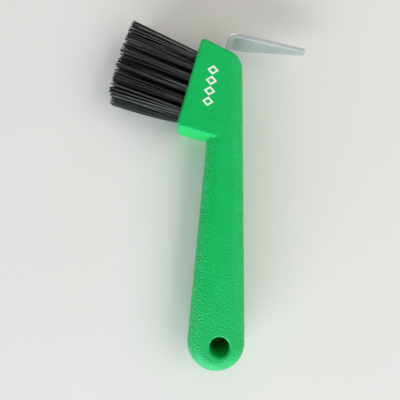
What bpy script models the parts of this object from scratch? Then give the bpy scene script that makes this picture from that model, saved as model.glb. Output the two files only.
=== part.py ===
"""Hoof pick with a stapled brush, lying on its side.

A moulded handle widens into a brush block at its head.  A bent steel strip is moulded into the
block and leaves its sloping top as the pick.  Each bristle tuft is folded round a flat wire anchor
that is driven across the bottom of its own drilled hole.

Lengths are in metres, with +Z up.  The work plane of the outline is X, Y: its own origin is the
centre of the round butt, +Y runs along the straight back to the head, and +X points to the back.
At the end everything is moved so that the origin is the middle of the whole object's underside.
"""

import math

import bmesh
import bpy
from mathutils import Matrix, Vector

MM = 0.001
GAP = 0.3 * MM  # between pieces that touch on the real object

# Handle
THICKNESS = 20.0 * MM
BUTT_RADIUS = 15.1 * MM
GRIP_TAPER = math.radians(6.0)  # the front edge against the straight back
GRIP_ROUNDING = 6.5 * MM
BLOCK_ROUNDING = 2.0 * MM
FACE_LEAN = math.radians(16.66)  # the brush face against the back
FACE_LENGTH = 48.9 * MM
FACE_HEEL = Vector((-20.2, 112.2)) * MM  # the end of the face nearer the butt
TOP_SLOPE = math.radians(27.1)  # the top falls away towards the back
FACE_CORNER = 2.3 * MM
BACK_CORNER = 7.5 * MM
NECK_FILLET = 1.2 * MM
ROUNDING_STEPS = (0, 20, 40, 56, 70, 80, 90)  # degrees round the grip's edge

# Hanging hole
HANG_CENTRE = Vector((1.4, -0.2)) * MM
HANG_RADIUS = 5.0 * MM
HANG_RIM = 1.7 * MM

# Pick, bent from one strip
STRIP_THICKNESS = 2.1 * MM
STRIP_WIDTH = 15.0 * MM
TIP_THICKNESS = 1.6 * MM
TIP_WIDTH = 4.8 * MM
TIP_CORNER = 1.2 * MM
STRIP_CHAMFER = 0.3 * MM
RISER_LEAN = math.radians(13.5)  # against the handle's back
BLADE_DROP = math.radians(8.8)  # against a line square to the back
PICK_CORNER = Vector((8.6, 160.6)) * MM  # where the strip's middle lines meet
BEND_RADIUS = 3.1 * MM  # of the strip's middle
BLADE_LENGTH = 41.0 * MM  # from that corner
BLADE_SHOULDER = 9.5 * MM  # from that corner to the start of the taper
TANG_DEPTH = 45.0 * MM  # from that corner
KEY_RADIUS = 2.6 * MM  # holes in the tang that the moulding fills
KEY_DEPTHS = (20.0 * MM, 33.0 * MM)

# Brush
ROWS = ("lower", "middle", "upper")
ROW_PITCH = 5.6 * MM
TUFT_PITCH = 6.1 * MM
TUFTS_IN_ROW = 6
BRUSH_MIDDLE = 23.3 * MM  # along the face, from its heel
ROW_STAGGER = 1.5 * MM  # the middle row towards the heel, the others towards the toe
HOLE_RADIUS = 2.3 * MM
HOLE_DEPTH = 12.0 * MM
TUFT_RADIUS = HOLE_RADIUS - GAP
TUFT_TIP_RADIUS = 2.85 * MM
BRISTLE_LENGTH = 38.2 * MM  # out of the face, at the brush's middle
BRISTLE_CROWN = 1.4 * MM  # shorter at both ends
BRUSH_LEAN = math.radians(3.75)  # bristles lean towards the toe
BRUSH_FAN = math.radians(2.75)  # more at the toe's end, less at the heel's
ROW_FAN = math.radians(1.0)  # outer rows away from the middle one
ANCHOR_LENGTH = 5.0 * MM
ANCHOR_WIDTH = 2.0 * MM
ANCHOR_THICKNESS = 0.45 * MM
ANCHOR_RISE = 1.6 * MM  # from the tuft's fold to the anchor
TUFT_SIDES = 12
HOLE_SIDES = 12
BEND_STEPS = 7

TUFT_BOTTOM = HOLE_DEPTH - GAP
MIDDLE_Z = THICKNESS / 2
FACE_UP = Vector((math.sin(FACE_LEAN), math.cos(FACE_LEAN)))
FACE_OUT = Vector((-math.cos(FACE_LEAN), math.sin(FACE_LEAN)))
RISER_UP = Vector((math.sin(RISER_LEAN), math.cos(RISER_LEAN)))
RISER_SIDE = Vector((math.cos(RISER_LEAN), -math.sin(RISER_LEAN)))
BLADE_OUT = Vector((math.cos(BLADE_DROP), -math.sin(BLADE_DROP)))


def clear_scene():
    for obj in list(bpy.data.objects):
        bpy.data.objects.remove(obj)


def plain_material(name, colour, roughness, metallic=0.0):
    material = bpy.data.materials.new(name)
    material.use_nodes = True
    shader = material.node_tree.nodes["Principled BSDF"]
    shader.inputs["Base Color"].default_value = (*colour, 1.0)
    shader.inputs["Roughness"].default_value = roughness
    shader.inputs["Metallic"].default_value = metallic
    return material


def new_object(name, bm, material=None, parent=None):
    bmesh.ops.recalc_face_normals(bm, faces=bm.faces)
    mesh = bpy.data.meshes.new(name)
    bm.to_mesh(mesh)
    bm.free()
    obj = bpy.data.objects.new(name, mesh)
    bpy.context.scene.collection.objects.link(obj)
    if material:
        mesh.materials.append(material)
    obj.parent = parent
    return obj


def cutter(name, bm, parent):
    obj = new_object(name, bm, parent=parent)
    obj.hide_render = True
    obj.display_type = "WIRE"
    return obj


def loft(rings):
    """A closed body through rings of the same number of points, with a flat cap at each end."""
    bm = bmesh.new()
    loops = [[bm.verts.new(point) for point in ring] for ring in rings]
    for low, high in zip(loops, loops[1:]):
        for i in range(len(low)):
            j = (i + 1) % len(low)
            bm.faces.new((low[i], low[j], high[j], high[i]))
    bm.faces.new(loops[0][::-1])
    bm.faces.new(loops[-1])
    bmesh.ops.remove_doubles(bm, verts=bm.verts, dist=1e-6)
    return bm


def boolean(obj, operation, other):
    modifier = obj.modifiers.new(f"{operation.lower()} {other.name}", "BOOLEAN")
    modifier.operation = operation
    modifier.object = other


def smooth(obj, degrees=35):
    obj.data.shade_smooth()
    obj.data.set_sharp_from_angle(angle=math.radians(degrees))


# Handle ---------------------------------------------------------------------------------------


def crossing(point_a, direction_a, point_b, direction_b):
    """Where two lines of the work plane meet."""
    across = direction_a.cross(direction_b)
    return point_a + direction_a * ((point_b - point_a).cross(direction_b) / across)


def rounded_corner(corner, towards_before, towards_after, radius, steps):
    """Points of the arc that replaces a corner between two straight sides."""
    half = towards_before.angle(towards_after) / 2
    reach = radius / math.tan(half)
    start = corner + towards_before * reach
    end = corner + towards_after * reach
    centre = corner + (towards_before + towards_after).normalized() * (radius / math.sin(half))
    first, last = start - centre, end - centre
    turn = first.angle_signed(last)
    points = []
    for step in range(steps + 1):
        arm = first.copy()
        arm.rotate(Matrix.Rotation(-turn * step / steps, 2))
        points.append(centre + arm)
    return points


def handle_sides(grip_inset, block_inset):
    """The outline's straight sides, in order, each a point on it and its direction."""
    front_up = Vector((math.sin(GRIP_TAPER), math.cos(GRIP_TAPER)))
    front_in = Vector((math.cos(GRIP_TAPER), -math.sin(GRIP_TAPER)))
    toe = FACE_HEEL + FACE_UP * FACE_LENGTH
    top_along = Vector((math.cos(TOP_SLOPE), -math.sin(TOP_SLOPE)))
    top_in = Vector((-math.sin(TOP_SLOPE), -math.cos(TOP_SLOPE)))
    return [
        (front_in * (grip_inset - BUTT_RADIUS), front_up),
        (FACE_HEEL + FACE_UP * block_inset, FACE_OUT),
        (FACE_HEEL - FACE_OUT * block_inset, FACE_UP),
        (toe + top_in * block_inset, top_along),
        (Vector((BUTT_RADIUS - grip_inset, 0.0)), Vector((0.0, -1.0))),
        (Vector((0.0, grip_inset - BUTT_RADIUS)), Vector((-1.0, 0.0))),
    ]


def handle_outline(grip_inset, block_inset):
    """The handle's outline, cut in by one amount round the grip and another round the block."""
    sides = handle_sides(grip_inset, block_inset)
    butt = BUTT_RADIUS - grip_inset
    radii = [
        (NECK_FILLET, 3),
        (FACE_CORNER - block_inset, 4),
        (FACE_CORNER - block_inset, 4),
        (BACK_CORNER - grip_inset, 7),
        (butt, 10),
        (butt, 10),
    ]
    points = []
    for side, following, (radius, steps) in zip(sides, sides[1:] + sides[:1], radii):
        corner = crossing(*side, *following)
        points += rounded_corner(corner, -side[1], following[1], radius, steps)
    return points


def inset(depth, rounding):
    """How far a rounded edge is cut in at this depth under the flat side."""
    if depth >= rounding:
        return 0.0
    return rounding - math.sqrt(rounding**2 - (rounding - depth) ** 2)


def handle_body():
    depths = [GRIP_ROUNDING * (1 - math.sin(math.radians(a))) for a in ROUNDING_STEPS]
    levels = [(depth, depth) for depth in reversed(depths)]
    levels += [(THICKNESS - depth, depth) for depth in depths]
    rings = []
    for height, depth in levels:
        outline = handle_outline(inset(depth, GRIP_ROUNDING), inset(depth, BLOCK_ROUNDING))
        rings.append([Vector((*point, height)) for point in outline])
    return loft(rings)


def hanging_hole():
    """A cutter that leaves a straight bore with a rounded rim at each side."""
    rim = [math.radians(a) for a in (0, 22.5, 45, 67.5, 90)]
    half = [
        (HANG_RADIUS + HANG_RIM * (1 - math.cos(a)), MIDDLE_Z - HANG_RIM * (1 - math.sin(a)))
        for a in rim
    ]
    half.append((HANG_RADIUS + HANG_RIM, MIDDLE_Z + HANG_RIM))
    profile = [(radius, -height) for radius, height in reversed(half)] + half
    sides = 28
    rings = []
    for radius, height in profile:
        rings.append([
            Vector((
                HANG_CENTRE.x + radius * math.cos(2 * math.pi * i / sides),
                HANG_CENTRE.y + radius * math.sin(2 * math.pi * i / sides),
                MIDDLE_Z + height,
            ))
            for i in range(sides)
        ])
    return loft(rings)


# Pick -----------------------------------------------------------------------------------------


def strip_section(centre, along, width, thickness):
    """A chamfered cross-section of the strip, standing on its edge."""
    across = Vector((along.y, -along.x, 0.0))
    half_z, half_t, cut = width / 2, thickness / 2, STRIP_CHAMFER
    corners = [
        (half_t, half_z - cut), (half_t - cut, half_z), (cut - half_t, half_z),
        (-half_t, half_z - cut), (-half_t, cut - half_z), (cut - half_t, -half_z),
        (half_t - cut, -half_z), (half_t, cut - half_z),
    ]
    middle = Vector((centre.x, centre.y, MIDDLE_Z))
    return [middle + across * t + Vector((0.0, 0.0, z)) for t, z in corners]


def bend_points():
    """The middle of the strip round its bend: each point and the strip's direction there."""
    turn = RISER_UP.angle(BLADE_OUT)
    reach = BEND_RADIUS * math.tan(turn / 2)
    start = PICK_CORNER - RISER_UP * reach
    centre = start + RISER_SIDE * BEND_RADIUS
    for step in range(BEND_STEPS + 1):
        swing = Matrix.Rotation(-turn * step / BEND_STEPS, 2)
        yield centre - swing @ (RISER_SIDE * BEND_RADIUS), swing @ RISER_UP


def blade_stations():
    """Distances along the blade from the corner, with the width and thickness there."""
    taper = BLADE_LENGTH - BLADE_SHOULDER
    tip_cuts = [(TIP_CORNER * (1 - math.sin(a)), TIP_CORNER * (1 - math.cos(a)))
                for a in (math.radians(degrees) for degrees in (0, 30, 60, 80))]
    stations = [(BLADE_SHOULDER, 0.0)] + [(BLADE_LENGTH - back, cut) for back, cut in tip_cuts]
    for distance, cut in stations:
        share = (distance - BLADE_SHOULDER) / taper
        width = STRIP_WIDTH + (TIP_WIDTH - STRIP_WIDTH) * share - 2 * cut
        thickness = STRIP_THICKNESS + (TIP_THICKNESS - STRIP_THICKNESS) * share
        yield distance, width, thickness


def pick_body():
    tang_end = PICK_CORNER - RISER_UP * TANG_DEPTH
    sections = [strip_section(tang_end, RISER_UP, STRIP_WIDTH, STRIP_THICKNESS)]
    for centre, along in bend_points():
        sections.append(strip_section(centre, along, STRIP_WIDTH, STRIP_THICKNESS))
    for distance, width, thickness in blade_stations():
        centre = PICK_CORNER + BLADE_OUT * distance
        sections.append(strip_section(centre, BLADE_OUT, width, thickness))
    return loft(sections)


def key_post(depth, radius):
    """A round bar across the tang, for a hole in it or for the moulding that fills the hole."""
    bm = bmesh.new()
    bmesh.ops.create_cone(
        bm, segments=20, radius1=radius, radius2=radius, depth=3 * STRIP_THICKNESS, cap_ends=True
    )
    centre = PICK_CORNER - RISER_UP * depth
    turn = Vector((0.0, 0.0, 1.0)).rotation_difference(RISER_SIDE.to_3d())
    bm.transform(Matrix.Translation((centre.x, centre.y, MIDDLE_Z)) @ turn.to_matrix().to_4x4())
    return bm


def tang_cavity():
    """The room that the moulding leaves for the strip, wider than it by the gap."""
    width = STRIP_WIDTH + 2 * GAP
    thickness = STRIP_THICKNESS + 2 * GAP
    ends = (PICK_CORNER - RISER_UP * (TANG_DEPTH + GAP), PICK_CORNER)
    return loft([strip_section(end, RISER_UP, width, thickness) for end in ends])


# Brush ----------------------------------------------------------------------------------------


def tuft_places():
    """Each tuft's name, distance along the face, height, lean and free length."""
    half_length = TUFT_PITCH * (TUFTS_IN_ROW - 1) / 2 + ROW_STAGGER
    for row, row_name in enumerate(ROWS):
        height = MIDDLE_Z + ROW_PITCH * (row - 1)
        stagger = -ROW_STAGGER if row == 1 else ROW_STAGGER
        for number in range(TUFTS_IN_ROW):
            offset = TUFT_PITCH * (number - (TUFTS_IN_ROW - 1) / 2) + stagger
            share = offset / half_length
            lean = Vector((BRUSH_LEAN + BRUSH_FAN * share, ROW_FAN * (row - 1)))
            length = BRISTLE_LENGTH - BRISTLE_CROWN * share**2
            yield f"{row_name}_{number + 1}", BRUSH_MIDDLE + offset, height, lean, length


def at_face(distance, height, depth):
    """A point at this distance along the face and this depth under it."""
    point = FACE_HEEL + FACE_UP * distance - FACE_OUT * depth
    return Vector((point.x, point.y, height))


def ring_across(centre, direction, radius, sides):
    """A ring of points square to a direction that is nearly the face's own."""
    side = Vector((0.0, 0.0, 1.0)).cross(direction).normalized()
    up = direction.cross(side)
    return [
        centre
        + side * (radius * math.cos(2 * math.pi * (i + 0.5) / sides))
        + up * (radius * math.sin(2 * math.pi * (i + 0.5) / sides))
        for i in range(sides)
    ]


def face_box(distance, height, depth_range, width, thickness):
    """A box square to the brush face: width along the face, thickness along Z."""
    rings = []
    for depth in depth_range:
        centre = at_face(distance, height, depth)
        along = FACE_UP.to_3d() * (width / 2)
        rise = Vector((0.0, 0.0, thickness / 2))
        rings.append([centre - along - rise, centre + along - rise,
                      centre + along + rise, centre - along + rise])
    return loft(rings)


def anchor_depths(extra=0.0):
    """The depths between which an anchor stands, widened by a gap where something surrounds it."""
    bottom = TUFT_BOTTOM - ANCHOR_RISE
    return bottom + extra, bottom - ANCHOR_WIDTH - extra


def tuft_body(distance, height, lean, length):
    leaning = FACE_OUT * math.cos(lean.x) + FACE_UP * math.sin(lean.x)
    leaning = Vector((leaning.x, leaning.y, math.tan(lean.y))).normalized()
    fold = [
        (TUFT_BOTTOM, TUFT_RADIUS * 0.6),
        (TUFT_BOTTOM - 0.5 * MM, TUFT_RADIUS),
        (0.0, TUFT_RADIUS),
    ]
    outward = FACE_OUT.to_3d()
    rings = [
        ring_across(at_face(distance, height, depth), outward, radius, TUFT_SIDES)
        for depth, radius in fold
    ]
    end = at_face(distance, height, 0.0) + leaning * length
    rings.append(ring_across(end, leaning, TUFT_TIP_RADIUS, TUFT_SIDES))
    return loft(rings)


def tuft_hole(distance, height):
    rings = [
        ring_across(at_face(distance, height, depth), FACE_OUT.to_3d(), HOLE_RADIUS, HOLE_SIDES)
        for depth in (HOLE_DEPTH, -FACE_CORNER)
    ]
    return loft(rings)


def brush_cutters(root):
    """The drilled holes and the notches that the anchors bite, as one cutter's body."""
    holes = bmesh.new()
    for _, distance, height, _, _ in tuft_places():
        for bm in (
            tuft_hole(distance, height),
            face_box(distance, height, anchor_depths(GAP), ANCHOR_LENGTH + 2 * GAP,
                     ANCHOR_THICKNESS + 2 * GAP),
        ):
            mesh = bpy.data.meshes.new("piece")
            bmesh.ops.recalc_face_normals(bm, faces=bm.faces)
            bm.to_mesh(mesh)
            bm.free()
            holes.from_mesh(mesh)
            bpy.data.meshes.remove(mesh)
    return cutter("brush_holes", holes, root)


def make_brush(root, bristle, wire):
    for name, distance, height, lean, length in tuft_places():
        body = tuft_body(distance, height, lean, length)
        tuft = new_object(f"tuft_{name}", body, bristle, root)
        window = face_box(distance, height, anchor_depths(GAP), 4 * TUFT_RADIUS,
                          ANCHOR_THICKNESS + 2 * GAP)
        boolean(tuft, "DIFFERENCE", cutter(f"window_{name}", window, root))
        anchor = face_box(distance, height, anchor_depths(), ANCHOR_LENGTH, ANCHOR_THICKNESS)
        new_object(f"anchor_{name}", anchor, wire, root)


def make_pick(root, steel):
    pick = new_object("pick", pick_body(), steel, root)
    for number, depth in enumerate(KEY_DEPTHS, 1):
        hole = cutter(f"key_hole_{number}", key_post(depth, KEY_RADIUS), root)
        boolean(pick, "DIFFERENCE", hole)
    smooth(pick)


def make_handle(root, plastic):
    handle = new_object("handle", handle_body(), plastic, root)
    boolean(handle, "DIFFERENCE", cutter("hanging_hole", hanging_hole(), root))
    cavity = cutter("tang_cavity", tang_cavity(), root)
    for number, depth in enumerate(KEY_DEPTHS, 1):
        post = cutter(f"key_post_{number}", key_post(depth, KEY_RADIUS - GAP), root)
        boolean(cavity, "DIFFERENCE", post)
    boolean(handle, "DIFFERENCE", cavity)
    holes = brush_cutters(root)
    boolean(handle, "DIFFERENCE", holes)
    holes_modifier = handle.modifiers[-1]
    holes_modifier.use_self = True
    smooth(handle)


def centre_on_origin(root):
    """Moves the whole object so that the middle of its box, seen from above, is at the origin."""
    bpy.context.view_layer.update()
    graph = bpy.context.evaluated_depsgraph_get()
    corners = [
        obj.matrix_world @ Vector(corner)
        for obj in bpy.data.objects
        if obj.type == "MESH" and not obj.hide_render
        for corner in obj.evaluated_get(graph).bound_box
    ]
    for axis in (0, 1):
        values = [corner[axis] for corner in corners]
        root.location[axis] = -(min(values) + max(values)) / 2


def main():
    clear_scene()
    root = bpy.data.objects.new("hoof_pick", None)
    bpy.context.scene.collection.objects.link(root)
    plastic = plain_material("green_plastic", (0.012, 0.47, 0.11), 0.42)
    steel = plain_material("plated_steel", (0.62, 0.66, 0.67), 0.3, metallic=1.0)
    bristle = plain_material("black_bristle", (0.012, 0.013, 0.013), 0.45)
    wire = plain_material("anchor_wire", (0.5, 0.5, 0.48), 0.35, metallic=1.0)
    make_handle(root, plastic)
    make_pick(root, steel)
    make_brush(root, bristle, wire)
    centre_on_origin(root)


main()
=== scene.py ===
import math
import random

import bmesh
import bpy
import numpy as np
from mathutils import Matrix, Vector


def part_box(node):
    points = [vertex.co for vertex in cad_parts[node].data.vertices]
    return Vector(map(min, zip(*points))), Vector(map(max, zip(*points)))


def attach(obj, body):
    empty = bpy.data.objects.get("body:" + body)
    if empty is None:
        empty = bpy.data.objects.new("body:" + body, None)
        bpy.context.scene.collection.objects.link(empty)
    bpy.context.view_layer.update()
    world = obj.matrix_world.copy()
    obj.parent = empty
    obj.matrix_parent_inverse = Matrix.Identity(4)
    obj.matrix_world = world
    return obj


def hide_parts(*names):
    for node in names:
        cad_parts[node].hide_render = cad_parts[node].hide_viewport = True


# The finished look of a hoof pick with a stapled brush, lying on its side on a pale table.
#
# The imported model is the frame.  The moulded handle, the bent steel strip and the eighteen bristle
# tufts are made again here as fine meshes in the same places, and the wire anchors keep their own.
#
# Lengths are in metres, with +Z up.  Outlines are drawn in a work plane whose origin is the middle
# of the handle's round butt: +Y runs along the straight back to the head, +X points to the back.
# Heights above the table are in metres too, and THICKNESS is the height of the flat top.

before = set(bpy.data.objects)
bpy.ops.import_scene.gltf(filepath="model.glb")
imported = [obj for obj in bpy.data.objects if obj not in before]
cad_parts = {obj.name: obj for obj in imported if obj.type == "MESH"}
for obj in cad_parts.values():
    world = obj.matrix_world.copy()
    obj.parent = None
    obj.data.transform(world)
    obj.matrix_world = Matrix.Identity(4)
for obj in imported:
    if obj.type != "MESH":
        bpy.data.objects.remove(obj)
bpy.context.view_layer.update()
BODY = "root"

MM = 0.001
GAP = 0.3 * MM  # that the frame keeps between pieces
SLIT = 0.06 * MM  # that shows between the moulding and the strip
WELD_REACH = 0.002 * MM  # within which vertices left by the cuts are merged

# Handle
BUTT_RADIUS = 15.1 * MM
BUTT_FLAT = 0.6 * MM  # how much shorter than a half circle the butt is
BUTT_CORNER = BUTT_RADIUS - 0.1 * MM  # radius of the flattened butt's two quarters
GRIP_TAPER = math.radians(6.0)  # the front edge against the straight back
GRIP_ROUNDING = 6.5 * MM
GRIP_CROWN = 7.5 * MM  # how far in from the side the same rounding reaches
ROUNDING_STEPS = 20
BLOCK_ROUNDING = 2.0 * MM
FLANK_ROUNDING = 1.0 * MM  # at the block's heel, towards the butt
FLANK_SLANT = 2.4 * MM  # how far the heel slants out between the flat side and this depth
FLANK_DEPTH = 8.0 * MM
FLANK_REACH = 0.75 * MM  # how far the heel stands out at mid-thickness
FACE_LEAN = math.radians(16.66)  # the brush face against the back
FACE_LENGTH = 48.9 * MM
FACE_HEEL = Vector((-20.2, 112.2)) * MM  # the end of the face nearer the butt
TOP_SLOPE = math.radians(27.1)
FACE_CORNER = 2.3 * MM
BACK_CORNER = 7.5 * MM
NECK_FILLET = 1.2 * MM
LEAST_CORNER = 0.25 * MM
CORNER_STEPS = (8, 10, 10, 20, 30, 30)  # at the neck, heel, toe, back and the two of the butt
SEAM_HEIGHT = 0.08 * MM  # the mould's parting line stands proud by this much
SEAM_WIDTH = 0.35 * MM
HANG_CENTRE = Vector((1.5, -0.05)) * MM
HANG_RADIUS = 5.1 * MM
HANG_RIM = 1.2 * MM  # radius of its rounded rims
HANG_SIDES = 72
RIM_STEPS = 8

# Pick
STRIP_THICKNESS = 2.1 * MM
STRIP_WIDTH = 15.0 * MM
TIP_THICKNESS = 1.6 * MM
TIP_WIDTH = 4.8 * MM
TIP_CORNER = 1.2 * MM
STRIP_EDGE = 0.2 * MM  # radius of its long edges
RISER_LEAN = math.radians(13.5)
BLADE_DROP = math.radians(8.8)
PICK_CORNER = Vector((8.6, 160.6)) * MM  # where the strip's middle lines meet
BEND_RADIUS = 3.1 * MM
BLADE_LENGTH = 41.0 * MM
BLADE_SHOULDER = 9.5 * MM
TANG_DEPTH = 45.0 * MM
KEY_RADIUS = 2.6 * MM
KEY_DEPTHS = (20.0 * MM, 33.0 * MM)
KEY_SIDES = 48
EDGE_STEPS = 4
BEND_STEPS = 24
TAPER_STEPS = 16
TIP_STEPS = 8
TIP_SWEEP = 84  # degrees of the quarter circle that round the blade's tip off
FACE_SHARES = (0.12, 0.5, 0.88)  # where the strip's flat faces have lines of points

# Brush
ROWS = ("lower", "middle", "upper")
ROW_PITCH = 5.6 * MM
TUFT_PITCH = 6.1 * MM
TUFTS_IN_ROW = 6
BRUSH_MIDDLE = 23.3 * MM
ROW_STAGGER = 1.5 * MM
BRUSH_HALF = TUFT_PITCH * (TUFTS_IN_ROW - 1) / 2 + ROW_STAGGER
HOLE_RADIUS = 2.3 * MM
HOLE_DEPTH = 12.0 * MM
HOLE_FLARE = 0.2 * MM  # a drilled hole's broken edge
HOLE_SIDES = 32
BRISTLE_LENGTH = 38.2 * MM
BRISTLE_CROWN = 1.4 * MM  # how much shorter the trim is at the toe
HEEL_CROWN = 0.3 * MM  # the same at the heel
BRUSH_LEAN = math.radians(3.75)  # of the middle tufts towards the toe
BRUSH_FAN = math.radians(2.75)  # what the outermost tufts lean beyond that
ROW_FAN = math.radians(1.0)  # how far the outer rows lean up and down
ANCHOR_LENGTH = 5.0 * MM
ANCHOR_WIDTH = 2.0 * MM
ANCHOR_THICKNESS = 0.45 * MM
ANCHOR_FOOT = 10.1 * MM  # depth of the anchor's lower edge

# Bristles
BRISTLE_RADIUS = 0.26 * MM
BRISTLE_LAYERS = ((0.52, 7), (1.0, 6), (1.45, 6), (1.9, 4))  # mm from the anchor, and how many
BRISTLE_STEP = 0.56 * MM  # from one to the next in a layer
TIP_SPREAD = 1.75  # how much wider a tuft is at its tips
TIP_WANDER = 0.6 * MM
TIP_LIMIT = 3.9 * MM  # from the tuft's middle, along the face
OUTER_LIMIT = 2.95 * MM  # the same where no other tuft stands beside it
LEAST_HEIGHT = 0.4 * MM  # of a bristle's middle line above the table
BRISTLE_BOW = 0.35 * MM
ROOT_WANDER = 0.07 * MM
TRIM_WANDER = 0.22 * MM
STRAY_SHARE = 0.015  # of the ends
STRAY_LENGTHS = (-3.0 * MM, -1.5 * MM, 0.7 * MM, 1.0 * MM)  # added to a stray bristle
LEG_STEPS = 8  # from a hole's mouth to a bristle's tip
FOLD_STEPS = 6
FOLD_DEPTH = 0.8  # of the fold under the anchor, against half its height
BRISTLE_SIDES = 8
SEED = 41  # of everything random in the brush

# Printed mark
MARK_COUNT = 4
MARK_PITCH = 5.4 * MM
MARK_LENGTH = 4.9 * MM
MARK_WIDTH = 5.9 * MM
MARK_STROKE = 0.85 * MM
MARK_MIDDLE = (25.6 * MM, 11.3 * MM)  # along the brush face and in from it
MARK_LEAN = math.radians(9.9)  # of the row, against the handle's back
INK_THICKNESS = 0.04 * MM

# Colours, as linear red, green and blue; a pair is the darkest and the lightest of a base
GREEN_BASE = ((0.0015, 0.475, 0.082), (0.002, 0.505, 0.093))
GREEN_FLECK = (0.006, 0.58, 0.14)
# lighter and bluer on the roundings: partly wear, partly a painted highlight
GREEN_WORN_AND_SHEEN = (0.02, 0.62, 0.22)
GREEN_SHINE = (0.3, 0.9, 1.0, 1.0)  # tint of the highlights
STEEL_BASE = ((0.60, 0.68, 0.71), (0.68, 0.735, 0.745))
STEEL_LINE = (0.50, 0.54, 0.55)
STEEL_EDGE = (0.80, 0.82, 0.81)
STEEL_SHEARED = (0.48, 0.50, 0.49)
# painted highlight on the outside of the bend
STEEL_BEND_HIGHLIGHT = (0.98, 0.99, 0.97)
# random darkness of the bristles; the lightest end is a painted highlight
BRISTLE_TONE_AND_SHEEN = ((0.002, 0.003, 0.003), (0.13, 0.135, 0.132))
BRISTLE_DUST = (0.07, 0.07, 0.068)
WIRE_BASE = ((0.45, 0.45, 0.43), (0.60, 0.60, 0.57))
INK_BASE = (0.92, 0.93, 0.92)
INK_THIN = (0.45, 0.75, 0.55)
TABLE_BASE = ((0.785, 0.775, 0.75), (0.82, 0.81, 0.785))
SKY_COLOUR = (1.0, 0.98, 0.92, 1.0)

# Relief in the finishes, from lowest to highest
PLASTIC_SWELL = 0.08 * MM
PLASTIC_GRAIN = 0.5 * MM
STEEL_LINE_DEPTH = 0.012 * MM
STEEL_SPOT_DEPTH = 0.01 * MM
BRISTLE_DEPTH = 0.01 * MM
WIRE_DEPTH = 0.005 * MM
INK_DEPTH = 0.02 * MM

# Table and light
TABLE_HALF = 3.0  # metres from its middle to each side
TABLE_DROP = 0.05 * MM  # how far the table is below the tool's lowest face
# Each ramp over the height of a direction, 0 level and 1 straight up: from, to, brightness at both
SKY_RAMPS = ((0.80, 0.975, 0.24, 0.04), (0.05, 0.40, 0.55, 0.0))
LAMP_DISTANCE = 3.0
LAMPS = (  # name, azimuth and elevation in degrees, size in metres, power in watts, colour
    ("window", -18, 16, (4.6, 1.4), 170.0, (0.84, 0.93, 1.0)),
    ("room_side", 78, 40, (3.6, 2.0), 52.0, (1.0, 0.97, 0.94)),
    ("far_side", 175, 40, (5.0, 3.0), 25.0, (1.0, 0.99, 0.97)),
)

# View
LENS = 29.7
SENSOR = 36.0
CLIP_START = 0.01
CAMERA_PLACE = Vector((-5.31, -0.97, 188.0)) * MM
CAMERA_TURN = math.radians(-0.45)

handle_low, handle_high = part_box("handle")
ORIGIN = Vector((handle_high.x - BUTT_RADIUS, handle_low.y + BUTT_RADIUS, handle_low.z))
THICKNESS = handle_high.z - handle_low.z
MIDDLE_Z = THICKNESS / 2
FACE_UP = Vector((math.sin(FACE_LEAN), math.cos(FACE_LEAN)))
FACE_OUT = Vector((-math.cos(FACE_LEAN), math.sin(FACE_LEAN)))
RISER_UP = Vector((math.sin(RISER_LEAN), math.cos(RISER_LEAN)))
RISER_SIDE = Vector((math.cos(RISER_LEAN), -math.sin(RISER_LEAN)))
BLADE_OUT = Vector((math.cos(BLADE_DROP), -math.sin(BLADE_DROP)))
BEND_TURN = RISER_UP.angle(BLADE_OUT)
BEND_REACH = BEND_RADIUS * math.tan(BEND_TURN / 2)
BEND_CENTRE = PICK_CORNER - RISER_UP * BEND_REACH + RISER_SIDE * BEND_RADIUS
MARK_UP = Vector((math.sin(MARK_LEAN), math.cos(MARK_LEAN)))
MARK_SIDE = Vector((math.cos(MARK_LEAN), -math.sin(MARK_LEAN)))
UP = Vector((0.0, 0.0, 1.0))


# Meshes ---------------------------------------------------------------------------------------


def new_object(name, bm):
    """An object from a bmesh drawn in the work plane, moved to its place in the frame."""
    bmesh.ops.recalc_face_normals(bm, faces=bm.faces)
    bm.transform(Matrix.Translation(ORIGIN))
    mesh = bpy.data.meshes.new(name)
    bm.to_mesh(mesh)
    bm.free()
    obj = bpy.data.objects.new(name, mesh)
    bpy.context.scene.collection.objects.link(obj)
    return obj


def loft(rings):
    """A closed body through rings of the same number of points, with a flat cap at each end."""
    bm = bmesh.new()
    loops = [[bm.verts.new(point) for point in ring] for ring in rings]
    for low, high in zip(loops, loops[1:]):
        for i in range(len(low)):
            j = (i + 1) % len(low)
            bm.faces.new((low[i], low[j], high[j], high[i]))
    bm.faces.new(loops[0][::-1])
    bm.faces.new(loops[-1])
    return bm


def join_bodies(bodies):
    """Several closed bodies as one bmesh, each with its faces pointing out."""
    joined = bmesh.new()
    for bm in bodies:
        bmesh.ops.recalc_face_normals(bm, faces=bm.faces)
        mesh = bpy.data.meshes.new("body")
        bm.to_mesh(mesh)
        bm.free()
        joined.from_mesh(mesh)
        bpy.data.meshes.remove(mesh)
    return joined


def subtract(obj, tool, overlapping=False):
    """Takes a tool away from an object's mesh; its bodies may overlap each other if it says so."""
    modifier = obj.modifiers.new("cut", "BOOLEAN")
    modifier.operation = "DIFFERENCE"
    modifier.object = tool
    modifier.use_self = overlapping
    apply_modifiers(obj)
    bpy.data.objects.remove(tool)


def cut(obj, bodies):
    """Takes these bodies away from an object's mesh."""
    subtract(obj, new_object("cutter", join_bodies(bodies)), overlapping=True)


def apply_modifiers(obj):
    """Puts the mesh that an object's modifiers make in the place of its own."""
    graph = bpy.context.evaluated_depsgraph_get()
    mesh = bpy.data.meshes.new_from_object(obj.evaluated_get(graph))
    obj.modifiers.clear()
    obj.data = mesh
    mesh.name = obj.name


def weld(obj):
    """Merges the vertices that the cuts leave on top of each other."""
    bm = bmesh.new()
    bm.from_mesh(obj.data)
    bmesh.ops.remove_doubles(bm, verts=bm.verts, dist=WELD_REACH)
    bmesh.ops.dissolve_degenerate(bm, edges=bm.edges, dist=WELD_REACH)
    bm.to_mesh(obj.data)
    bm.free()


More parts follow.
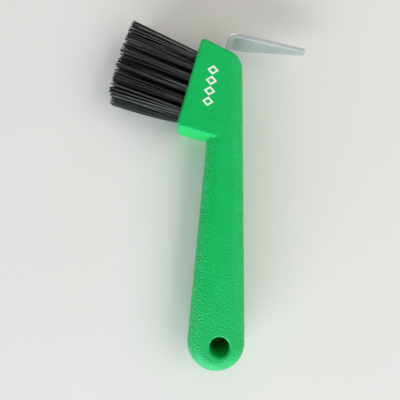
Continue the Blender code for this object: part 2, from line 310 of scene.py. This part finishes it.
def shade(obj, degrees=32):
    """Smooth shading that leaves flat faces flat."""
    obj.data.shade_smooth()
    obj.data.set_sharp_from_angle(angle=math.radians(degrees))
    modifier = obj.modifiers.new("even normals", "WEIGHTED_NORMAL")
    modifier.keep_sharp = True


def finish_piece(obj, material, slot, *nodes):
    """Gives a piece its material and body and hides the nodes it stands for; the slot is not used.
    """
    obj.data.materials.clear()
    obj.data.materials.append(material)
    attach(obj, BODY)
    if nodes:
        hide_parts(*nodes)


def arc_angles(first, last, steps):
    """Evenly spaced angles in radians, both ends included, from ends in degrees."""
    return [math.radians(first + (last - first) * step / steps) for step in range(steps + 1)]


# Handle ---------------------------------------------------------------------------------------


def crossing(point_a, direction_a, point_b, direction_b):
    """Where two lines of the work plane meet."""
    across = direction_a.cross(direction_b)
    return point_a + direction_a * ((point_b - point_a).cross(direction_b) / across)


def rounded_corner(corner, towards_before, towards_after, radius, steps):
    """Points of the arc that replaces a corner between two straight sides."""
    half = towards_before.angle(towards_after) / 2
    reach = radius / math.tan(half)
    centre = corner + (towards_before + towards_after).normalized() * (radius / math.sin(half))
    first = corner + towards_before * reach - centre
    last = corner + towards_after * reach - centre
    turn = first.angle_signed(last)
    return [centre + Matrix.Rotation(turn * step / steps, 2).transposed() @ first
            for step in range(steps + 1)]


def handle_sides(grip_inset, block_inset, flank_inset):
    """The outline's straight sides, in order, each a point on it and its direction."""
    front_up = Vector((math.sin(GRIP_TAPER), math.cos(GRIP_TAPER)))
    front_in = Vector((math.cos(GRIP_TAPER), -math.sin(GRIP_TAPER)))
    toe = FACE_HEEL + FACE_UP * FACE_LENGTH
    top_along = Vector((math.cos(TOP_SLOPE), -math.sin(TOP_SLOPE)))
    top_in = Vector((-math.sin(TOP_SLOPE), -math.cos(TOP_SLOPE)))
    return [
        (front_in * (grip_inset - BUTT_RADIUS), front_up),
        (FACE_HEEL + FACE_UP * (flank_inset - FLANK_REACH), FACE_OUT),
        (FACE_HEEL - FACE_OUT * block_inset, FACE_UP),
        (toe + top_in * block_inset, top_along),
        (Vector((BUTT_RADIUS - grip_inset, 0.0)), Vector((0.0, -1.0))),
        (Vector((0.0, grip_inset + BUTT_FLAT - BUTT_RADIUS)), Vector((-1.0, 0.0))),
    ]


def handle_outline(grip_inset, block_inset, flank_inset):
    """The handle's outline, cut in by an amount each round the grip, the block and its heel."""
    sides = handle_sides(grip_inset, block_inset, flank_inset)
    butt = BUTT_CORNER - grip_inset
    corner = max(FACE_CORNER - block_inset, LEAST_CORNER)
    back = max(BACK_CORNER - grip_inset, LEAST_CORNER)
    radii = (NECK_FILLET, corner, corner, back, butt, butt)
    points = []
    for side, following, radius, steps in zip(sides, sides[1:] + sides[:1], radii, CORNER_STEPS):
        points += rounded_corner(crossing(*side, *following), -side[1], following[1], radius, steps)
    return points


def round_inset(depth, radius):
    """How far a rounded edge is cut in at this depth under the flat side."""
    rest = max(radius - depth, 0.0)
    return radius - math.sqrt(radius**2 - rest**2)


def flank_inset(depth):
    """How far the slanted heel is cut in at this depth, its rounded upper edge included."""
    slant = FLANK_SLANT * (1 - depth / FLANK_DEPTH)
    return slant + round_inset(depth, FLANK_ROUNDING)


def handle_levels():
    """Depths under the flat side, and how far the grip, block and heel are cut in there."""
    for angle in arc_angles(90, 0, ROUNDING_STEPS):
        depth = GRIP_ROUNDING * (1 - math.sin(angle))
        grip = GRIP_CROWN * (1 - math.cos(angle))
        yield depth, grip, round_inset(depth, BLOCK_ROUNDING), flank_inset(depth)
    yield FLANK_DEPTH, 0.0, 0.0, 0.0


def handle_body():
    """The handle without its holes: the levels of one half, the parting line and their mirror."""
    foot, crest = SEAM_WIDTH / 2, SEAM_WIDTH / 6
    seam = [(MIDDLE_Z - foot, 0.0, 0.0, 0.0),
            (MIDDLE_Z - crest, -SEAM_HEIGHT, -SEAM_HEIGHT, -SEAM_HEIGHT)]
    lower = list(handle_levels()) + seam
    levels = lower + [(THICKNESS - depth, *insets) for depth, *insets in reversed(lower)]
    return loft([[Vector((*point, height)) for point in handle_outline(*insets)]
                 for height, *insets in levels])


def hanging_hole():
    """A straight bore with a rounded rim at each side, as a body to cut away."""
    half = [(HANG_RADIUS + HANG_RIM * (1 - math.cos(a)), MIDDLE_Z - HANG_RIM * (1 - math.sin(a)))
            for a in arc_angles(0, 90, RIM_STEPS)]
    half.append((HANG_RADIUS + HANG_RIM, MIDDLE_Z + HANG_RIM))
    turns = [2 * math.pi * i / HANG_SIDES for i in range(HANG_SIDES)]
    return loft([
        [Vector((HANG_CENTRE.x + radius * math.cos(turn),
                 HANG_CENTRE.y + radius * math.sin(turn), MIDDLE_Z + height)) for turn in turns]
        for radius, height in [(r, -h) for r, h in reversed(half)] + half
    ])


def tuft_hole(distance, height):
    """A drilled hole with a flared mouth, as a body to cut away."""
    profile = ((HOLE_DEPTH, HOLE_RADIUS), (HOLE_FLARE, HOLE_RADIUS),
               (-HOLE_FLARE, HOLE_RADIUS + 2 * HOLE_FLARE))
    rings = []
    for depth, radius in profile:
        centre = at_face(distance, height, depth)
        along = FACE_UP.to_3d()
        rings.append([centre + along * (radius * math.cos(a)) + UP * (radius * math.sin(a))
                      for a in arc_angles(0, 360, HOLE_SIDES)[:-1]])
    return loft(rings)


def anchor_notch(distance, height):
    """The room round an anchor, which bites into both walls of its hole."""
    rings = []
    for depth in (ANCHOR_FOOT + GAP, ANCHOR_FOOT - ANCHOR_WIDTH - GAP):
        centre = at_face(distance, height, depth)
        along = FACE_UP.to_3d() * (ANCHOR_LENGTH / 2 + GAP)
        rise = UP * (ANCHOR_THICKNESS / 2 + GAP)
        rings.append([centre - along - rise, centre + along - rise,
                      centre + along + rise, centre - along + rise])
    return loft(rings)


def tang_room():
    """The room that the moulding leaves for the strip."""
    ends = (PICK_CORNER - RISER_UP * (TANG_DEPTH + SLIT), PICK_CORNER)
    return loft([strip_section(end, RISER_UP, STRIP_WIDTH + 2 * SLIT, STRIP_THICKNESS + 2 * SLIT)
                 for end in ends])


def make_handle(material):
    """The moulding: its body, less the holes and the room for the anchors and the strip."""
    handle = new_object("moulded_handle", handle_body())
    holes = [tuft_hole(distance, height) for _, distance, height, _ in tuft_places()]
    notches = [anchor_notch(distance, height) for _, distance, height, _ in tuft_places()]
    room = new_object("cavity", tang_room())
    cut(room, [key_post(depth, KEY_RADIUS - GAP) for depth in KEY_DEPTHS])
    cut(handle, [hanging_hole()])
    cut(handle, holes)
    cut(handle, notches)
    subtract(handle, room)
    weld(handle)
    shade(handle)
    finish_piece(handle, material, "green_plastic", "handle")


# Pick -----------------------------------------------------------------------------------------


def strip_section(centre, along, width, thickness):
    """A cross-section of the strip, standing on its edge, with rounded corners."""
    across = Vector((along.y, -along.x, 0.0))
    middle = Vector((centre.x, centre.y, MIDDLE_Z))
    half_z, half_t = width / 2 - STRIP_EDGE, thickness / 2 - STRIP_EDGE
    points = []
    for sign_t, sign_z, first in ((1, 1, 0), (-1, 1, 90), (-1, -1, 180), (1, -1, 270)):
        for angle in arc_angles(first, first + 90, EDGE_STEPS):
            t = sign_t * half_t + STRIP_EDGE * math.cos(angle)
            z = sign_z * half_z + STRIP_EDGE * math.sin(angle)
            points.append(middle + across * t + UP * z)
        if sign_t != sign_z:
            for share in FACE_SHARES:
                z = sign_z * half_z * (1 - 2 * share)
                points.append(middle + across * (sign_t * (half_t + STRIP_EDGE)) + UP * z)
    return points


def bend_points():
    """The middle of the strip round its bend: each point and the strip's direction there."""
    for share in np.linspace(0, 1, BEND_STEPS + 1):
        swing = Matrix.Rotation(-BEND_TURN * share, 2)
        yield BEND_CENTRE - swing @ (RISER_SIDE * BEND_RADIUS), swing @ RISER_UP


def blade_stations():
    """Distances along the blade from the corner, with the width and thickness there."""
    taper = BLADE_LENGTH - BLADE_SHOULDER
    stations = [(BLADE_SHOULDER - 1.0 * MM, 0.0)]
    stations += [(BLADE_SHOULDER + (taper - TIP_CORNER) * share, 0.0)
                 for share in np.linspace(0.02, 0.98, TAPER_STEPS)]
    stations += [(BLADE_LENGTH - TIP_CORNER * (1 - math.sin(a)), TIP_CORNER * (1 - math.cos(a)))
                 for a in arc_angles(0, TIP_SWEEP, TIP_STEPS)]
    for distance, rounded in stations:
        share = max(distance - BLADE_SHOULDER, 0.0) / taper
        width = STRIP_WIDTH + (TIP_WIDTH - STRIP_WIDTH) * share - 2 * rounded
        thickness = STRIP_THICKNESS + (TIP_THICKNESS - STRIP_THICKNESS) * share
        yield distance, width, thickness


def key_post(depth, radius):
    """A round bar across the tang, for a hole in it or for the moulding that fills the hole."""
    bm = bmesh.new()
    bmesh.ops.create_cone(bm, segments=KEY_SIDES, radius1=radius, radius2=radius,
                          depth=3 * STRIP_THICKNESS, cap_ends=True)
    centre = PICK_CORNER - RISER_UP * depth
    turn = UP.rotation_difference(RISER_SIDE.to_3d())
    bm.transform(Matrix.Translation((centre.x, centre.y, MIDDLE_Z)) @ turn.to_matrix().to_4x4())
    return bm


def make_pick(material):
    """The strip, lofted from its tang round the bend to its tip, with two key holes."""
    tang_end = PICK_CORNER - RISER_UP * TANG_DEPTH
    sections = [strip_section(tang_end, RISER_UP, STRIP_WIDTH, STRIP_THICKNESS)]
    for centre, along in bend_points():
        sections.append(strip_section(centre, along, STRIP_WIDTH, STRIP_THICKNESS))
    for distance, width, thickness in blade_stations():
        centre = PICK_CORNER + BLADE_OUT * distance
        sections.append(strip_section(centre, BLADE_OUT, width, thickness))
    pick = new_object("steel_pick", loft(sections))
    cut(pick, [key_post(depth, KEY_RADIUS) for depth in KEY_DEPTHS])
    add_strip_attributes(pick)
    shade(pick, 40)
    finish_piece(pick, material, "plated_steel", "pick")


def strip_coordinates(point):
    """How far along the strip a point of it lies, and how far from its middle, across and up."""
    flat = Vector((point.x - ORIGIN.x, point.y - ORIGIN.y))
    height = point.z - ORIGIN.z - MIDDLE_Z
    arm = flat - BEND_CENTRE
    before = (flat - PICK_CORNER).dot(RISER_UP) + BEND_REACH
    after = (flat - PICK_CORNER).dot(BLADE_OUT) - BEND_REACH
    if before <= 0.0:
        return before, (flat - PICK_CORNER).dot(RISER_SIDE), height
    if after >= 0.0:
        blade_side = Vector((BLADE_OUT.y, -BLADE_OUT.x))
        return BEND_TURN * BEND_RADIUS + after, (flat - PICK_CORNER).dot(blade_side), height
    return (-RISER_SIDE).angle(arm) * BEND_RADIUS, BEND_RADIUS - arm.length, height


def add_strip_attributes(obj):
    """Where each vertex lies on the strip, near an edge or on a sheared side, for its finish."""
    mesh = obj.data
    places, edges, sheared = [], [], []
    for vertex in mesh.vertices:
        along, across, height = strip_coordinates(vertex.co)
        places += [along, across, height]
        share = max(along - BLADE_SHOULDER, 0.0) / (BLADE_LENGTH - BLADE_SHOULDER)
        half_t = (STRIP_THICKNESS + (TIP_THICKNESS - STRIP_THICKNESS) * share) / 2
        half_z = (STRIP_WIDTH + (TIP_WIDTH - STRIP_WIDTH) * share) / 2
        near_top = 1 - (half_z - abs(height)) / (2 * STRIP_EDGE)
        edges.append(max(0.0, min(abs(across) / half_t, near_top, 1.0)))
        sheared.append(max(0.0, min(1 - (half_z - abs(height)) / STRIP_EDGE, 1.0)))
    mesh.attributes.new("strip_place", "FLOAT_VECTOR", "POINT").data.foreach_set("vector", places)
    mesh.attributes.new("strip_edge", "FLOAT", "POINT").data.foreach_set("value", edges)
    mesh.attributes.new("strip_sheared", "FLOAT", "POINT").data.foreach_set("value", sheared)


# Brush ----------------------------------------------------------------------------------------


def tuft_places():
    """Each tuft's name, distance along the face, height and lean."""
    for row, row_name in enumerate(ROWS):
        height = MIDDLE_Z + ROW_PITCH * (row - 1)
        stagger = -ROW_STAGGER if row == 1 else ROW_STAGGER
        for number in range(TUFTS_IN_ROW):
            offset = TUFT_PITCH * (number - (TUFTS_IN_ROW - 1) / 2) + stagger
            lean = Vector((BRUSH_LEAN + BRUSH_FAN * offset / BRUSH_HALF, ROW_FAN * (row - 1)))
            yield f"{row_name}_{number + 1}", BRUSH_MIDDLE + offset, height, lean


def at_face(distance, height, depth):
    """A point at this distance along the face and this depth under it."""
    point = FACE_HEEL + FACE_UP * distance - FACE_OUT * depth
    return Vector((point.x, point.y, height))


def tube(points, side, radius):
    """Rings of points round a path that never leaves the plane square to side."""
    points = np.array(points)
    ahead = np.gradient(points, axis=0)
    ahead /= np.linalg.norm(ahead, axis=1)[:, None]
    side = np.array(side)
    side = side - ahead * (ahead @ side)[:, None]
    side /= np.linalg.norm(side, axis=1)[:, None]
    up = np.cross(ahead, side)
    turns = np.arange(BRISTLE_SIDES) * 2 * math.pi / BRISTLE_SIDES
    return (points[:, None, :]
            + radius * (side[:, None, :] * np.cos(turns)[None, :, None]
                        + up[:, None, :] * np.sin(turns)[None, :, None]))


def trimmed_length(distance):
    """A bristle's free length where its tip is this far along the face."""
    share = (distance - BRUSH_MIDDLE) / BRUSH_HALF
    return BRISTLE_LENGTH - (BRISTLE_CROWN if share > 0 else HEEL_CROWN) * share**2


def bristle_leg(rng, mouth, distance, x, z, leaning, limits):
    """Points from a hole's mouth to a bristle's tip, and the share of the length at each."""
    tip_x = min(max(x * TIP_SPREAD + rng.gauss(0, TIP_WANDER), limits[0]), limits[1])
    tip_z = z * TIP_SPREAD + rng.gauss(0, TIP_WANDER)
    bow_x, bow_z = rng.gauss(0, BRISTLE_BOW / 2), rng.gauss(0, BRISTLE_BOW / 2)
    reach = trimmed_length(distance + tip_x) - abs(rng.gauss(0, TRIM_WANDER))
    if rng.random() < STRAY_SHARE:
        reach += rng.choice(STRAY_LENGTHS)
    shares = list(np.linspace(0, 1, LEG_STEPS + 1)[1:])
    points = []
    for share in shares:
        bend = 4 * share * (1 - share)
        point = mouth + leaning * (reach * share)
        point += FACE_UP.to_3d() * (x + (tip_x - x) * share + bow_x * bend)
        point += UP * (z + (tip_z - z) * share + bow_z * bend)
        point.z = min(max(point.z, LEAST_HEIGHT), THICKNESS)
        points.append(point)
    return points, shares


def folded_bristle(rng, distance, height, lean, x, z, limits):
    """One bristle folded under the anchor: its path from tip to tip."""
    out = FACE_OUT.to_3d()
    leaning = FACE_OUT * math.cos(lean.x) + FACE_UP * math.sin(lean.x)
    leaning = Vector((leaning.x, leaning.y, math.tan(lean.y))).normalized()
    mouth = at_face(distance, height, 0.0)
    first, first_shares = bristle_leg(rng, mouth, distance, x, z, leaning, limits)
    last, last_shares = bristle_leg(rng, mouth, distance, x, -z, leaning, limits)
    deep = mouth + FACE_UP.to_3d() * x - out * ANCHOR_FOOT
    turn = [deep + UP * (z * math.cos(a)) - out * (FOLD_DEPTH * z * math.sin(a))
            for a in arc_angles(0, 180, FOLD_STEPS)]
    top = mouth + FACE_UP.to_3d() * x
    points = first[::-1] + [top + UP * z] + turn + [top - UP * z] + last
    shares = first_shares[::-1] + [0.0] * (len(turn) + 2) + last_shares
    return points, shares


def make_tuft(rng, name, distance, height, lean):
    """One tuft, with a random number for each bristle that sets how light it is, the lightest grey
    standing for a painted highlight, and the share of its length kept for its finish.
    """
    verts, faces, tones_and_sheen, tips = [], [], [], []
    limits = (-OUTER_LIMIT if name.endswith("_1") else -TIP_LIMIT,
              OUTER_LIMIT if name.endswith(f"_{TUFTS_IN_ROW}") else TIP_LIMIT)
    for layer, count in BRISTLE_LAYERS:
        for i in range(count):
            x = (i - (count - 1) / 2) * BRISTLE_STEP + rng.gauss(0, ROOT_WANDER)
            points, shares = folded_bristle(rng, distance, height, lean, x, layer * MM, limits)
            rings = tube(points, FACE_UP.to_3d(), BRISTLE_RADIUS)
            first = len(verts)
            verts.extend(rings.reshape(-1, 3))
            tones_and_sheen += [rng.random()] * rings.shape[0] * BRISTLE_SIDES
            tips += list(np.repeat(shares, BRISTLE_SIDES))
            faces += tube_faces(first, len(points))
    mesh = bpy.data.meshes.new(name)
    mesh.from_pydata([Vector(v) + ORIGIN for v in verts], [], faces)
    for attribute_name, values in (("bristle_tone_and_sheen", tones_and_sheen), ("bristle_share", tips)):
        attribute = mesh.attributes.new(attribute_name, "FLOAT", "POINT")
        attribute.data.foreach_set("value", values)
    mesh.shade_smooth()
    mesh.set_sharp_from_angle(angle=math.radians(60))
    tuft = bpy.data.objects.new(name, mesh)
    bpy.context.scene.collection.objects.link(tuft)
    return tuft


def tube_faces(first, count):
    """The faces of one closed tube whose rings start at this vertex."""
    n = BRISTLE_SIDES
    faces = []
    for ring in range(count - 1):
        low = first + ring * n
        faces += [(low + i, low + (i + 1) % n, low + n + (i + 1) % n, low + n + i)
                  for i in range(n)]
    faces.append(tuple(first + i for i in reversed(range(n))))
    faces.append(tuple(first + (count - 1) * n + i for i in range(n)))
    return faces


def make_brush(material):
    rng = random.Random(SEED)
    for name, distance, height, lean in tuft_places():
        tuft = make_tuft(rng, f"bristles_{name}", distance, height, lean)
        finish_piece(tuft, material, "black_bristle", f"tuft_{name}")


# Printed mark ---------------------------------------------------------------------------------


def lozenge(centre, half_length, half_width):
    """The corners of a lozenge that stands in line with the row."""
    return [centre + MARK_UP * half_length, centre + MARK_SIDE * half_width,
            centre - MARK_UP * half_length, centre - MARK_SIDE * half_width]


def make_mark(material):
    """A plain row of lozenges, printed along the block."""
    bm = bmesh.new()
    low, high = THICKNESS, THICKNESS + INK_THICKNESS
    along, inward = MARK_MIDDLE
    shrink = 1 - (2 * MARK_STROKE * math.hypot(MARK_LENGTH, MARK_WIDTH)
                  / (MARK_LENGTH * MARK_WIDTH))
    for i in range(MARK_COUNT):
        offset = MARK_PITCH * (i - (MARK_COUNT - 1) / 2)
        centre = FACE_HEEL + FACE_UP * along - FACE_OUT * inward + MARK_UP * offset
        outer = lozenge(centre, MARK_LENGTH / 2, MARK_WIDTH / 2)
        inner = lozenge(centre, MARK_LENGTH / 2 * shrink, MARK_WIDTH / 2 * shrink)
        loops = [[bm.verts.new((*point, z)) for point in outline]
                 for outline, z in ((outer, low), (outer, high), (inner, high), (inner, low))]
        for one, two in zip(loops, loops[1:] + loops[:1]):
            for k in range(4):
                bm.faces.new((one[k], one[(k + 1) % 4], two[(k + 1) % 4], two[k]))
    mark = new_object("printed_mark", bm)
    finish_piece(mark, material, None)


# Materials ------------------------------------------------------------------------------------


class Nodes:
    """A material's node tree with short calls for the nodes that are used here."""

    def __init__(self, name):
        self.material = bpy.data.materials.new(name)
        self.material.use_nodes = True
        self.tree = self.material.node_tree
        self.shader = self.tree.nodes["Principled BSDF"]

    def add(self, kind, **settings):
        node = self.tree.nodes.new(kind)
        for key, value in settings.items():
            setattr(node, key, value)
        return node

    def link(self, output, target):
        self.tree.links.new(output, target)

    def set(self, **values):
        for key, value in values.items():
            self.shader.inputs[key.replace("_", " ")].default_value = value

    def attribute(self, name):
        return self.add("ShaderNodeAttribute", attribute_name=name)

    def noise(self, vector, scale, detail=2.0, roughness=0.5):
        node = self.add("ShaderNodeTexNoise")
        node.inputs["Scale"].default_value = scale
        node.inputs["Detail"].default_value = detail
        node.inputs["Roughness"].default_value = roughness
        self.link(vector, node.inputs["Vector"])
        return node.outputs["Fac"]

    def scaled(self, vector, factors):
        node = self.add("ShaderNodeMapping")
        node.inputs["Scale"].default_value = factors
        self.link(vector, node.inputs["Vector"])
        return node.outputs["Vector"]

    def remap(self, value, low, high, to_low=0.0, to_high=1.0):
        node = self.add("ShaderNodeMapRange", interpolation_type="SMOOTHSTEP")
        for key, number in (("From Min", low), ("From Max", high),
                            ("To Min", to_low), ("To Max", to_high)):
            node.inputs[key].default_value = number
        self.link(value, node.inputs["Value"])
        return node.outputs["Result"]

    def math(self, operation, a, b):
        node = self.add("ShaderNodeMath", operation=operation)
        for i, value in enumerate((a, b)):
            if isinstance(value, (int, float)):
                node.inputs[i].default_value = value
            else:
                self.link(value, node.inputs[i])
        return node.outputs["Value"]

    def mix(self, factor, a, b):
        node = self.add("ShaderNodeMix", data_type="RGBA")
        self.link(factor, node.inputs["Factor"])
        for key, value in (("A", a), ("B", b)):
            socket = [s for s in node.inputs if s.name == key and s.type == "RGBA"][0]
            if isinstance(value, tuple):
                socket.default_value = (*value, 1.0)
            else:
                self.link(value, socket)
        return [s for s in node.outputs if s.type == "RGBA"][0]

    def bump(self, height, distance, strength=1.0, after=None):
        node = self.add("ShaderNodeBump")
        node.inputs["Distance"].default_value = distance
        node.inputs["Strength"].default_value = strength
        self.link(height, node.inputs["Height"])
        if after:
            self.link(after, node.inputs["Normal"])
        return node.outputs["Normal"]

    def object_place(self):
        return self.add("ShaderNodeTexCoord").outputs["Object"]

    def object_normal_z(self):
        """How far a face looks straight up or down."""
        separate = self.add("ShaderNodeSeparateXYZ")
        self.link(self.add("ShaderNodeTexCoord").outputs["Normal"], separate.inputs["Vector"])
        return self.math("ABSOLUTE", separate.outputs["Z"], 0.0)


def green_plastic():
    """Moulded plastic with a fine grain, which is deeper where it rounds off, and there lighter and
    bluer: partly wear, partly a painted highlight.

    The specular tint stands for a camera that shows the highlights on a strong green as bluish.
    """
    n = Nodes("green_plastic_finish")
    place = n.object_place()
    cloud = n.noise(place, scale=60.0, detail=3.0)
    fleck = n.noise(place, scale=900.0)
    tilt = n.object_normal_z()  # 1 on the flat sides, 0 on the narrow ones
    edge = n.math("MULTIPLY", n.remap(tilt, 0.15, 0.6), n.remap(tilt, 0.97, 0.75))
    worn_and_sheen = n.math("MULTIPLY", edge, n.remap(n.noise(place, scale=180.0, detail=4.0), 0.45, 0.75))
    base = n.mix(n.remap(cloud, 0.35, 0.65), *GREEN_BASE)
    base = n.mix(n.remap(fleck, 0.4, 0.8, 0.0, 0.25), base, GREEN_FLECK)
    # Lighter and bluer where it rounds off: partly wear, partly a painted highlight.
    base = n.mix(n.math("MULTIPLY", worn_and_sheen, 0.3), base, GREEN_WORN_AND_SHEEN)
    n.link(base, n.shader.inputs["Base Color"])
    rough = n.remap(fleck, 0.3, 0.7, 0.32, 0.46)
    n.link(n.math("SUBTRACT", rough, n.math("MULTIPLY", edge, 0.14)), n.shader.inputs["Roughness"])
    grain = n.noise(place, scale=1250.0, roughness=0.6)
    coarse = n.noise(place, scale=420.0, detail=1.0)
    swell = n.bump(coarse, PLASTIC_SWELL, 0.6)
    height = n.math("SUBTRACT", grain, 0.5)
    height = n.math("MULTIPLY", height, n.remap(tilt, 0.99, 0.75, 0.9, 1.9))
    n.link(n.bump(height, PLASTIC_GRAIN, 1.0, swell), n.shader.inputs["Normal"])
    n.set(Specular_IOR_Level=0.6, Specular_Tint=GREEN_SHINE)
    return n.material


def plated_steel():
    """Zinc-plated strip: fine lines along it, a cloudy tint, dull sheared edges, and a painted
    highlight on the outside of the bend.
    """
    n = Nodes("plated_steel_finish")
    place = n.attribute("strip_place").outputs["Vector"]
    edge = n.attribute("strip_edge").outputs["Fac"]
    sheared = n.attribute("strip_sheared").outputs["Fac"]
    bend_highlight = outside_of_bend(n, place)
    lines = n.noise(n.scaled(place, (60.0, 2500.0, 2500.0)), scale=1.0, detail=4.0, roughness=0.6)
    cloud = n.noise(place, scale=90.0, detail=4.0, roughness=0.55)
    spots = n.noise(place, scale=700.0)
    base = n.mix(n.remap(cloud, 0.35, 0.65), *STEEL_BASE)
    base = n.mix(n.remap(lines, 0.35, 0.75, 0.0, 0.35), base, STEEL_LINE)
    base = n.mix(n.math("MULTIPLY", edge, 0.25), base, STEEL_EDGE)
    base = n.mix(n.math("MULTIPLY", sheared, 0.6), base, STEEL_SHEARED)
    # A painted highlight, nearly white, on the outside of the bend.
    base = n.mix(n.math("MULTIPLY", bend_highlight, 0.9), base, STEEL_BEND_HIGHLIGHT)
    n.link(base, n.shader.inputs["Base Color"])
    rough = n.remap(lines, 0.3, 0.7, 0.30, 0.42)
    rough = n.math("ADD", rough, n.remap(spots, 0.55, 0.8, 0.0, 0.08))
    rough = n.math("ADD", rough, n.math("MULTIPLY", sheared, 0.38))
    n.link(n.math("ADD", rough, n.math("MULTIPLY", bend_highlight, 0.2)), n.shader.inputs["Roughness"])
    spotted = n.bump(spots, STEEL_SPOT_DEPTH, 0.6)
    n.link(n.bump(lines, STEEL_LINE_DEPTH, 0.8, spotted), n.shader.inputs["Normal"])
    n.set(Metallic=1.0)
    return n.material


def outside_of_bend(n, place):
    """1 on the outer face of the strip's bend, where its highlight is painted, and 0 away from it.
    """
    split = n.add("ShaderNodeSeparateXYZ")
    n.link(place, split.inputs["Vector"])
    along, across = split.outputs["X"], split.outputs["Y"]
    from_riser = n.remap(along, 0.5 * MM, 2.5 * MM)
    from_blade = n.remap(along, 6.0 * MM, 4.0 * MM)
    bend_highlight = n.math("MULTIPLY", from_riser, from_blade)
    return n.math("MULTIPLY", bend_highlight, n.remap(across, -0.1 * MM, -0.7 * MM))


def black_bristle():
    """Drawn plastic filament, each one a little lighter or darker at random, the lightest grey ones
    as a painted highlight, with paler cut ends.
    """
    n = Nodes("black_bristle_finish")
    place = n.object_place()
    tone_and_sheen = n.attribute("bristle_tone_and_sheen").outputs["Fac"]
    share = n.attribute("bristle_share").outputs["Fac"]
    patches = n.remap(n.noise(place, scale=800.0), 0.4, 0.7)
    dust = n.math("MULTIPLY", n.remap(share, 0.9, 1.0), patches)
    # The lightest bristles are painted grey: a painted highlight over a random darkness.
    base = n.mix(n.remap(tone_and_sheen, 0.62, 1.0), *BRISTLE_TONE_AND_SHEEN)
    base = n.mix(n.math("MULTIPLY", dust, 0.35), base, BRISTLE_DUST)
    n.link(base, n.shader.inputs["Base Color"])
    streak = n.noise(n.scaled(place, (300.0, 900.0, 2500.0)), scale=1.0)
    n.link(n.remap(streak, 0.3, 0.7, 0.34, 0.5), n.shader.inputs["Roughness"])
    n.link(n.bump(streak, BRISTLE_DEPTH, 0.7), n.shader.inputs["Normal"])
    n.set(Specular_IOR_Level=0.5)
    return n.material


def anchor_wire():
    """Drawn flat wire with a dull bright finish."""
    n = Nodes("anchor_wire_finish")
    place = n.object_place()
    lines = n.noise(n.scaled(place, (400.0, 400.0, 6000.0)), scale=1.0, detail=3.0)
    n.link(n.mix(lines, *WIRE_BASE), n.shader.inputs["Base Color"])
    n.link(n.remap(lines, 0.3, 0.7, 0.28, 0.42), n.shader.inputs["Roughness"])
    n.link(n.bump(lines, WIRE_DEPTH, 0.6), n.shader.inputs["Normal"])
    n.set(Metallic=1.0)
    return n.material


def white_ink():
    """A thin pad print that takes a little of the grain under it."""
    n = Nodes("white_ink_finish")
    place = n.object_place()
    cover = n.noise(place, scale=1300.0)
    thin = n.remap(cover, 0.62, 0.8, 0.0, 0.35)
    n.link(n.mix(thin, INK_BASE, INK_THIN), n.shader.inputs["Base Color"])
    n.link(n.remap(cover, 0.3, 0.7, 0.42, 0.55), n.shader.inputs["Roughness"])
    n.link(n.bump(cover, INK_DEPTH, 0.6), n.shader.inputs["Normal"])
    return n.material


# Table, light and view ------------------------------------------------------------------------


def table_finish():
    """A plain pale board, a little cloudy."""
    n = Nodes("table_finish")
    cloud = n.noise(n.object_place(), scale=9.0, detail=3.0)
    n.link(n.mix(cloud, *TABLE_BASE), n.shader.inputs["Base Color"])
    n.set(Roughness=0.6, Specular_IOR_Level=0.25)
    return n.material


def make_table():
    corners = [Vector((x * TABLE_HALF, y * TABLE_HALF, -TABLE_DROP))
               for x, y in ((-1, -1), (1, -1), (1, 1), (-1, 1))]
    mesh = bpy.data.meshes.new("table")
    mesh.from_pydata(corners, [], [(0, 1, 2, 3)])
    mesh.materials.append(table_finish())
    table = bpy.data.objects.new("table", mesh)
    bpy.context.scene.collection.objects.link(table)


def make_sky():
    """An even pale room, brighter towards its walls and dimmer straight above."""
    world = bpy.data.worlds.new("room")
    bpy.context.scene.world = world
    world.use_nodes = True
    tree = world.node_tree
    place = tree.nodes.new("ShaderNodeTexCoord")
    split = tree.nodes.new("ShaderNodeSeparateXYZ")
    total = tree.nodes.new("ShaderNodeMath")
    for i, bounds in enumerate(SKY_RAMPS):
        ramp = tree.nodes.new("ShaderNodeMapRange")
        ramp.interpolation_type = "SMOOTHSTEP"
        for key, number in zip(("From Min", "From Max", "To Min", "To Max"), bounds):
            ramp.inputs[key].default_value = number
        tree.links.new(split.outputs["Z"], ramp.inputs["Value"])
        tree.links.new(ramp.outputs["Result"], total.inputs[i])
    background = tree.nodes["Background"]
    background.inputs["Color"].default_value = SKY_COLOUR
    tree.links.new(place.outputs["Generated"], split.inputs["Vector"])
    tree.links.new(total.outputs["Value"], background.inputs["Strength"])


def make_lamp(name, azimuth, elevation, size, power, colour):
    """A soft lamp that faces the tool; azimuth 0 is over the butt, 90 over the pick."""
    a, e = math.radians(azimuth), math.radians(elevation)
    way = Vector((math.sin(a) * math.cos(e), -math.cos(a) * math.cos(e), math.sin(e)))
    lamp = bpy.data.lights.new(name, "AREA")
    lamp.shape = "RECTANGLE"
    lamp.size, lamp.size_y = size
    lamp.energy = power
    lamp.color = colour
    obj = bpy.data.objects.new(name, lamp)
    bpy.context.scene.collection.objects.link(obj)
    obj.location = way * LAMP_DISTANCE
    obj.rotation_euler = way.to_track_quat("Z", "Y").to_euler()
    obj.visible_camera = False


def make_camera():
    camera_data = bpy.data.cameras.new("camera")
    camera_data.sensor_width = SENSOR
    camera_data.lens = LENS
    camera_data.clip_start = CLIP_START
    camera = bpy.data.objects.new("camera", camera_data)
    bpy.context.scene.collection.objects.link(camera)
    camera.location = CAMERA_PLACE
    camera.rotation_euler = (0.0, 0.0, CAMERA_TURN)
    bpy.context.scene.camera = camera


def finish_anchors(material):
    """The wire anchors keep their CAD shapes and get only a finer material."""
    for name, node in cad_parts.items():
        if name.startswith("anchor_"):
            node.data.materials.clear()
            node.data.materials.append(material)


def main():
    make_camera()
    make_handle(green_plastic())
    make_pick(plated_steel())
    make_brush(black_bristle())
    make_mark(white_ink())
    finish_anchors(anchor_wire())
    make_table()
    make_sky()
    for lamp in LAMPS:
        make_lamp(*lamp)
    bpy.context.scene.view_settings.view_transform = "Standard"


main()
